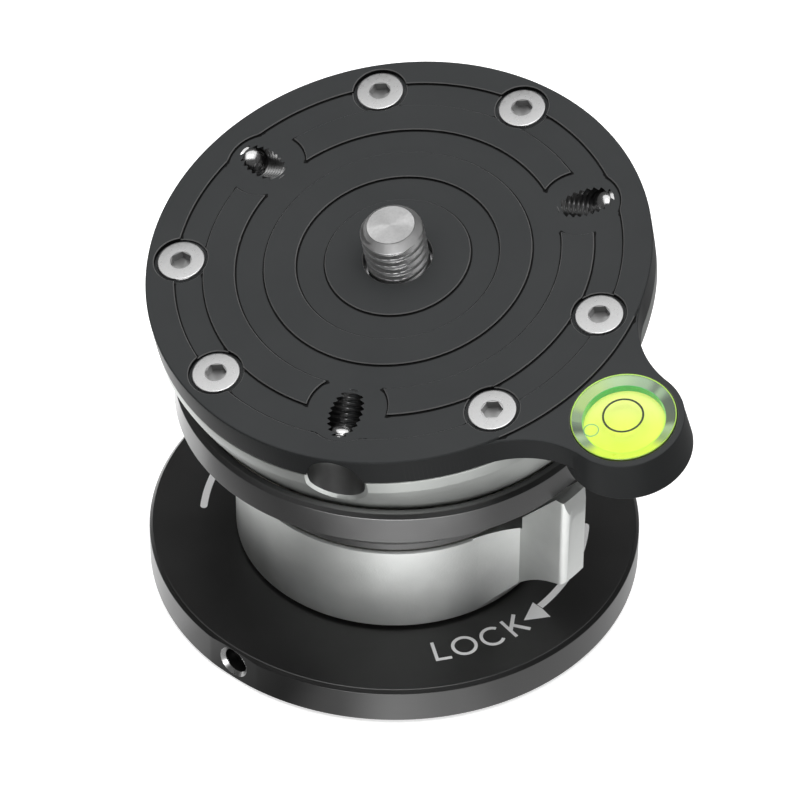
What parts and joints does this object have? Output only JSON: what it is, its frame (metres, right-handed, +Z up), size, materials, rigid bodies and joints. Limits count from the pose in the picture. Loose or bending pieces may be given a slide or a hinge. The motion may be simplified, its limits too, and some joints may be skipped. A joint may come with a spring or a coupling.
{
  "type": "leveling base",
  "caption": "Half-ball leveling base: a ball head plate with camera stud, set screws and bubble level tilts in a cup, and a lever ring clamps it above a tripod socket",
  "frame": {"origin": "centre of the base plate's underside, at the mouth of the tripod socket", "axes": "+Z up along the base's axis; the picture looks from -Y, with the lever and the bubble vial towards +X -Y"},
  "size_m": [0.0802, 0.0795, 0.0674],
  "materials": {
    "base_black": "satin black anodised",
    "plate_charcoal": "satin charcoal anodised",
    "housing_grey": "fine matt gunmetal anodised",
    "bead_blasted": "bead-blasted, clear anodised",
    "steel": "turned stainless",
    "black_steel": "black oxide",
    "nylon": "natural nylon",
    "brass": "turned",
    "acrylic": "clear polished",
    "vial_green": "clear yellow-green liquid",
    "vial_base": "gloss light green"
  },
  "bodies": {
    "base": {"base_plate": "base_black", "base_bushing": "steel", "base_screws": "steel", "stop_pin": "steel", "ball_housing": "housing_grey", "lower_lever_washer": "nylon", "upper_lever_washer": "nylon"},
    "lever": {"lever_ring": "bead_blasted"},
    "clamp": {"clamp_bolt": "steel", "cross_pin": "steel", "clamp_washer": "brass", "spring_washer": "steel", "clamp_nut": "steel"},
    "seat": {"seat_liner": "nylon"},
    "head": {"half_ball": "bead_blasted", "head_plate": "plate_charcoal", "plate_screws": "steel", "camera_stud": "steel", "stud_retainer": "housing_grey", "retainer_screws": "steel", "vial_body": "acrylic", "vial_liquid": "vial_green", "vial_backing": "vial_base"},
    "rim_screw": {"base_set_screw": "black_steel"},
    "head_screw_1": {"head_set_screw_1": "steel"},
    "head_screw_2": {"head_set_screw_2": "steel"},
    "head_screw_3": {"head_set_screw_3": "steel"}
  },
  "joints": [
    {"name": "lever_turn", "type": "hinge", "parent": "base", "child": "lever", "pos_m": [0, 0, 0.0147], "axis": [0, 0, 1], "range_deg": [0, 60]},
    {"name": "clamp_lift", "type": "slide", "parent": "base", "child": "clamp", "axis": [0, 0, 1], "range_m": [0, 0.00076]},
    {"name": "head_pan", "type": "hinge", "parent": "base", "child": "seat", "pos_m": [0, 0, 0.06097], "axis": [0, 0, 1], "continuous": true},
    {"name": "head_tilt", "type": "hinge", "parent": "seat", "child": "head", "pos_m": [0, 0, 0.06097], "axis": [0.7727, -0.6347, 0], "range_deg": [-27.8, 2.2]},
    {"name": "rim_screw_travel", "type": "slide", "parent": "base", "child": "rim_screw", "axis": [-0.6428, -0.766, 0], "range_m": [0, 0.003]},
    {"name": "head_screw_1_travel", "type": "slide", "parent": "head", "child": "head_screw_1", "axis": [-0.864, -0.2878, 0.4131], "range_m": [-0.001, 0.0035]},
    {"name": "head_screw_2_travel", "type": "slide", "parent": "head", "child": "head_screw_2", "axis": [0.4929, -0.6827, 0.5394], "range_m": [-0.001, 0.0035]},
    {"name": "head_screw_3_travel", "type": "slide", "parent": "head", "child": "head_screw_3", "axis": [0.1292, 0.676, 0.7255], "range_m": [-0.001, 0.0035]}
  ],
  "couplings": [
    {"joint": "clamp_lift", "follows": "lever_turn", "m_per_rad": 0.0007162}
  ]
}
